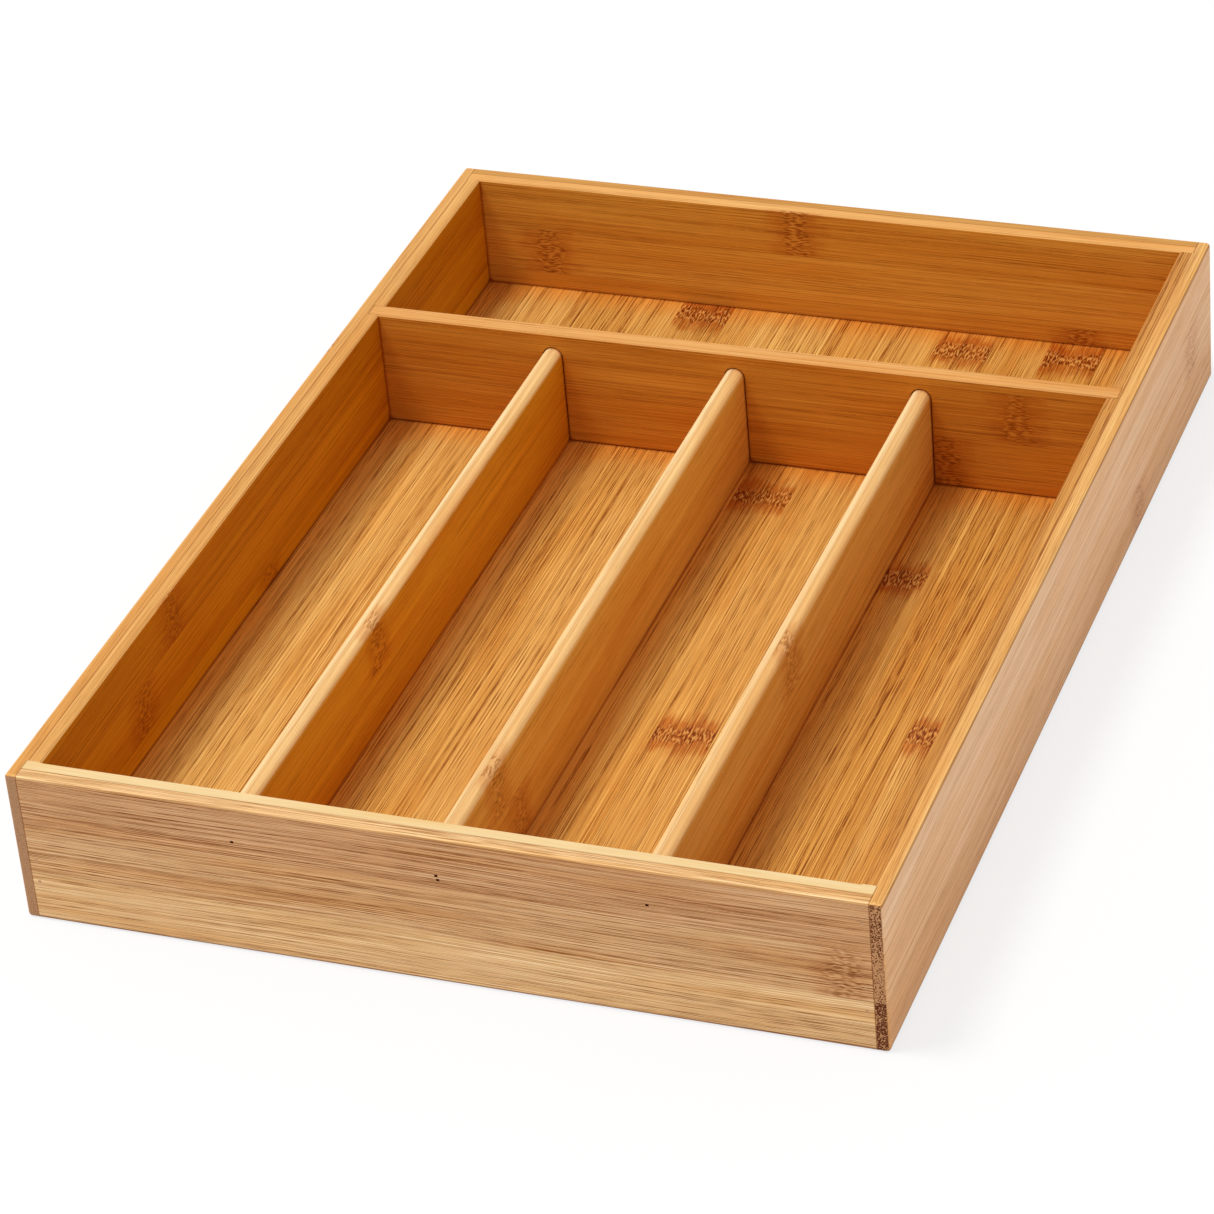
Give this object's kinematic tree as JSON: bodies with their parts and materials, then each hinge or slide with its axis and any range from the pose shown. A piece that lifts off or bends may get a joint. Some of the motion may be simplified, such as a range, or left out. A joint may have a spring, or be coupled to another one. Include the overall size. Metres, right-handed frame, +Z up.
{
  "type": "cutlery tray",
  "caption": "Shallow open bamboo drawer tray with long lengthwise compartments and a wider crosswise one at the back.",
  "frame": {"origin": "centre of the underside, on the surface that the tray rests on", "axes": "+X to the right across the tray, +Y from the front wall to the crosswise compartment at the back, +Z up"},
  "size_m": [0.254, 0.359, 0.049],
  "materials": {
    "bamboo_front": "satin lacquer, horizontal grain",
    "bamboo_back": "satin lacquer, horizontal grain",
    "bamboo_side": "satin lacquer, grain along the wall",
    "bamboo_floor": "satin lacquer, grain from front to back",
    "bamboo_cross": "satin lacquer, grain across the tray",
    "bamboo_divider": "satin lacquer, grain along the divider",
    "bamboo_filler": "satin lacquer",
    "wood_putty": "matt filler, sanded flush",
    "brad_steel": "plain wire, dulled"
  },
  "bodies": {
    "root": {"front_wall": "bamboo_front", "back_wall": "bamboo_back", "left_wall": "bamboo_side", "right_wall": "bamboo_side", "base_panel": "bamboo_floor", "cross_divider": "bamboo_cross", "dado_filler": "bamboo_filler", "left_divider": "bamboo_divider", "middle_divider": "bamboo_divider", "right_divider": "bamboo_divider", "divider_brads": "brad_steel", "corner_brads": "brad_steel", "brad_putty": "wood_putty"}
  },
  "joints": []
}
